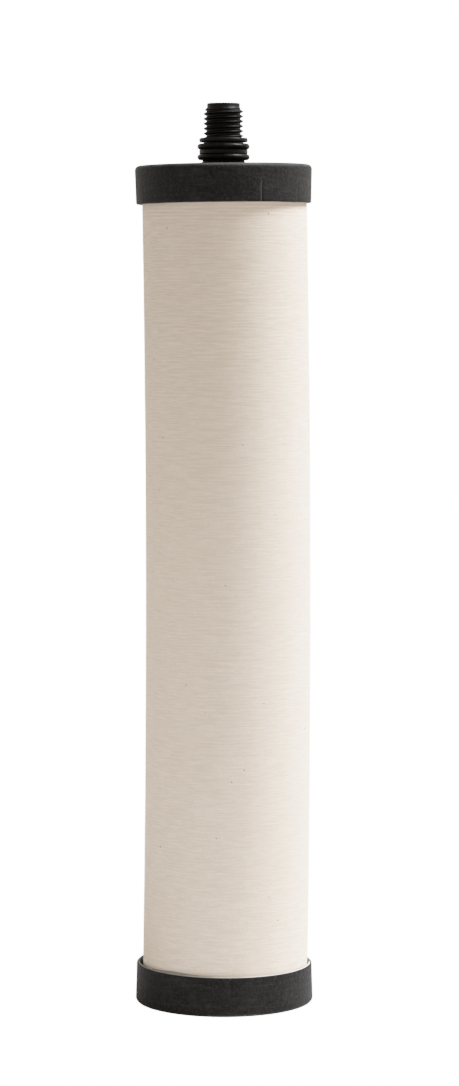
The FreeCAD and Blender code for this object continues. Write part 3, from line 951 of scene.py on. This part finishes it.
def carbon():
    """Pressed activated carbon: black grains, with pale dots painted on as highlights on grains that
    catch the light.
    """
    black, sooty, painted_glint = (0.006, 0.006, 0.0065), (0.024, 0.024, 0.026), (0.09, 0.09, 0.10)
    recipe = Recipe("carbon", 0.85, 0.35)
    grains = recipe.noise(0.5 * MM, 4, 0.75)
    painted_glints = recipe.dots(0.9 * MM, 0.12 * MM)
    base = recipe.blend(recipe.remap(grains, 0.3, 0.7), black, sooty)
    # painted highlight: pale dots for grains that catch the light
    recipe.colour(recipe.blend(recipe.combine("MULTIPLY", painted_glints, 0.5), base, painted_glint))
    recipe.roughness(recipe.remap(grains, 0.3, 0.7, 0.7, 0.95))
    recipe.bump(grains, 0.15 * MM, 0.8)
    return recipe.material


def fleece():
    """Bonded polypropylene fleece: long fine fibres in two directions."""
    shaded, white = (0.64, 0.64, 0.61), (0.84, 0.84, 0.82)
    recipe = Recipe("fleece", 0.95, 0.2)
    up = recipe.noise(0.12 * MM, 3, 0.7, (1, 1, 14))
    round_it = recipe.noise(0.12 * MM, 3, 0.7, (14, 14, 1))
    fibres = recipe.combine("MAXIMUM", up, round_it)
    recipe.colour(recipe.blend(recipe.remap(fibres, 0.45, 0.7), shaded, white))
    recipe.bump(fibres, 0.08 * MM, 0.7)
    return recipe.material


def pad_foam():
    """Closed-cell foam with open skin cells, with painted shade in the cells' pits."""
    pit_shade_grey, wall_grey = (0.40, 0.40, 0.38), (0.68, 0.68, 0.65)
    recipe = Recipe("pad_foam", 0.9, 0.2)
    walls = recipe.remap(recipe.cells(0.6 * MM), 0.1, 0.7)
    # painted shade: the cells' pits are darker than their walls
    recipe.colour(recipe.blend(walls, pit_shade_grey, wall_grey))
    recipe.bump(walls, 0.15 * MM, 0.7)
    return recipe.material


def strainer_plastic():
    """Dark grey engineering plastic with a fine eroded texture."""
    dark_grey, worn_grey = (0.022, 0.022, 0.023), (0.040, 0.040, 0.041)
    recipe = Recipe("strainer_plastic", 0.5, 0.4)
    grain = recipe.noise(0.2 * MM, 3, 0.6)
    recipe.colour(recipe.blend(recipe.remap(grain, 0.3, 0.7), dark_grey, worn_grey))
    recipe.roughness(recipe.remap(grain, 0.3, 0.7, 0.42, 0.6))
    recipe.bump(grain, 0.015 * MM, 0.5)
    return recipe.material


RECIPES = {
    "porous_ceramic": porous_ceramic,
    "cap_plastic": cap_plastic,
    "spigot_plastic": spigot_plastic,
    "seal_rubber": seal_rubber,
    "potting_resin": potting_resin,
    "core_plastic": core_plastic,
    "core_glue": core_glue,
    "carbon": carbon,
    "fleece": fleece,
    "pad_foam": pad_foam,
    "strainer_plastic": strainer_plastic,
}


def finish_surfaces(pieces):
    """Give each new piece its material, and each CAD node the material of its slot in the record."""
    made = {name: recipe() for name, recipe in RECIPES.items()}
    for piece, slot_name in pieces:
        piece.data.materials.clear()
        piece.data.materials.append(made[slot_name])
    for entry in frame["record"]["subparts"]:
        node = frame["nodes"][entry["node"]]
        for slot in node.material_slots:
            slot.material = made[entry["material_slot"]]


# ---------------------------------------------------------------- studio


BACKDROP = 3.2
CAMERA_PLACE = (1.81 * MM, -1.0578, 220.45 * MM)
CAMERA_TIP = 0.8
CAMERA_ROLL = 0.05
LENS = 114.3
LENS_SHIFT = -0.1957
KEY_PLACE = (0.743, 0.065, 1.2)
KEY_TARGET = (0, 0, 0.13)
KEY_SIZE = (0.5, 0.5)
KEY_POWER = 69
KEY_TINT = (0.885, 0.922, 1.0)
SURROUND_TINT = (1, 0.97, 0.925, 1)
FLOOR_SIDES = 96
FLOOR_RADIUS = 0.42
FLOOR_GREY = (0.70, 0.69, 0.69, 1)


def camera():
    """Long lens at the height of the tube's upper part, tipped down a little."""
    data = bpy.data.cameras.new("camera")
    data.sensor_width = 36
    data.lens = LENS
    data.shift_y = LENS_SHIFT
    viewer = bpy.data.objects.new("camera", data)
    viewer.location = CAMERA_PLACE
    viewer.rotation_euler = (math.radians(90 - CAMERA_TIP), math.radians(CAMERA_ROLL), 0)
    bpy.context.scene.collection.objects.link(viewer)
    bpy.context.scene.camera = viewer


def softbox(name, place, target, size, power, tint):
    data = bpy.data.lights.new(name, "AREA")
    data.shape = "RECTANGLE"
    data.size, data.size_y = size
    data.energy = power
    data.color = tint
    lamp = bpy.data.objects.new(name, data)
    lamp.location = place
    lamp.rotation_euler = (Vector(target) - Vector(place)).to_track_quat("-Z", "Y").to_euler()
    bpy.context.scene.collection.objects.link(lamp)


def ramp(tree, value, source, target):
    """A value taken from one range to another, and held at its ends."""
    node = tree.nodes.new("ShaderNodeMapRange")
    node.inputs["From Min"].default_value, node.inputs["From Max"].default_value = source
    node.inputs["To Min"].default_value, node.inputs["To Max"].default_value = target
    tree.links.new(value, node.inputs["Value"])
    return node.outputs["Result"]


def studio_world():
    """White surroundings: dimmer on the camera's side, below and overhead, and plain white where the
    camera sees them."""
    world = bpy.data.worlds.new("studio")
    world.use_nodes = True
    bpy.context.scene.world = world
    tree = world.node_tree
    shade = tree.nodes["Background"]
    shade.inputs["Color"].default_value = SURROUND_TINT
    seen = tree.nodes.new("ShaderNodeBackground")
    seen.inputs["Color"].default_value = (1, 1, 1, 1)
    seen.inputs["Strength"].default_value = BACKDROP
    place = tree.nodes.new("ShaderNodeTexCoord")
    split = tree.nodes.new("ShaderNodeSeparateXYZ")
    tree.links.new(place.outputs["Generated"], split.inputs[0])
    behind_object = ramp(tree, split.outputs["Y"], (-1, 1), (1.0, 1.5))
    above_floor = ramp(tree, split.outputs["Z"], (-0.4, 0), (0.35, 1.2))
    off_zenith = ramp(tree, split.outputs["Z"], (0, 1), (1, 0.25))
    strength = behind_object
    for factor in (above_floor, off_zenith):
        product = tree.nodes.new("ShaderNodeMath")
        product.operation = "MULTIPLY"
        tree.links.new(strength, product.inputs[0])
        tree.links.new(factor, product.inputs[1])
        strength = product.outputs[0]
    tree.links.new(strength, shade.inputs["Strength"])
    path = tree.nodes.new("ShaderNodeLightPath")
    mix = tree.nodes.new("ShaderNodeMixShader")
    tree.links.new(path.outputs["Is Camera Ray"], mix.inputs["Fac"])
    tree.links.new(shade.outputs[0], mix.inputs[1])
    tree.links.new(seen.outputs[0], mix.inputs[2])
    tree.links.new(mix.outputs[0], tree.nodes["World Output"].inputs["Surface"])


def floor():
    """Plain pale floor round the foot of the object. It bounces light up, and the camera sees past
    it to the plain white surroundings."""
    radii = (CAP_RADIUS - 2 * MM, FLOOR_RADIUS)
    points = [
        (radius * math.cos(angle), radius * math.sin(angle), 0)
        for angle in even_angles(FLOOR_SIDES)
        for radius in radii
    ]
    count = len(points)
    faces = [(at, at + 1, (at + 3) % count, (at + 2) % count) for at in range(0, count, 2)]
    mesh = bpy.data.meshes.new("floor")
    mesh.from_pydata(points, [], faces)
    plane = bpy.data.objects.new("floor", mesh)
    bpy.context.scene.collection.objects.link(plane)
    plane.visible_camera = False
    recipe = Recipe("floor", 0.9)
    recipe.shader.inputs["Base Color"].default_value = FLOOR_GREY
    mesh.materials.append(recipe.material)


def tone_curve():
    """A soft shoulder for bright tones, like a camera's: what comes in as x shows as 1 - exp(-x)."""
    settings = bpy.context.scene.view_settings
    settings.view_transform = "Standard"
    settings.use_curve_mapping = True
    curves = settings.curve_mapping
    curves.white_level = (BACKDROP, BACKDROP, BACKDROP)
    curve = curves.curves[3]
    for share in (0.05, 0.12, 0.22, 0.36, 0.55, 0.85):
        curve.points.new(share, 1 - math.exp(-share * BACKDROP))
    curves.update()


def main():
    lower_bead = resin_bead(
        "lower_resin_bead", "lower_potting_resin",
        crown=0.17 * MM, climb=0.1 * MM, surge=0.6 * MM, flip=False,
    )
    upper_bead = resin_bead(
        "upper_resin_bead", "upper_potting_resin",
        crown=0.04 * MM, climb=0.05 * MM, surge=0, flip=True,
    )
    pieces = [
        (ceramic_tube(), "porous_ceramic"),
        (lower_cap(), "cap_plastic"),
        (upper_cap(), "cap_plastic"),
        (lower_bead, "potting_resin"),
        (upper_bead, "potting_resin"),
        (spigot(), "spigot_plastic"),
        (o_ring("o_ring_lower", "spigot_o_ring_lower", 2.5), "seal_rubber"),
        (o_ring("o_ring_upper", "spigot_o_ring_upper", 6.5), "seal_rubber"),
    ]
    finish_surfaces(pieces)
    camera()
    softbox("key", KEY_PLACE, KEY_TARGET, KEY_SIZE, KEY_POWER, KEY_TINT)
    studio_world()
    floor()
    tone_curve()


main()
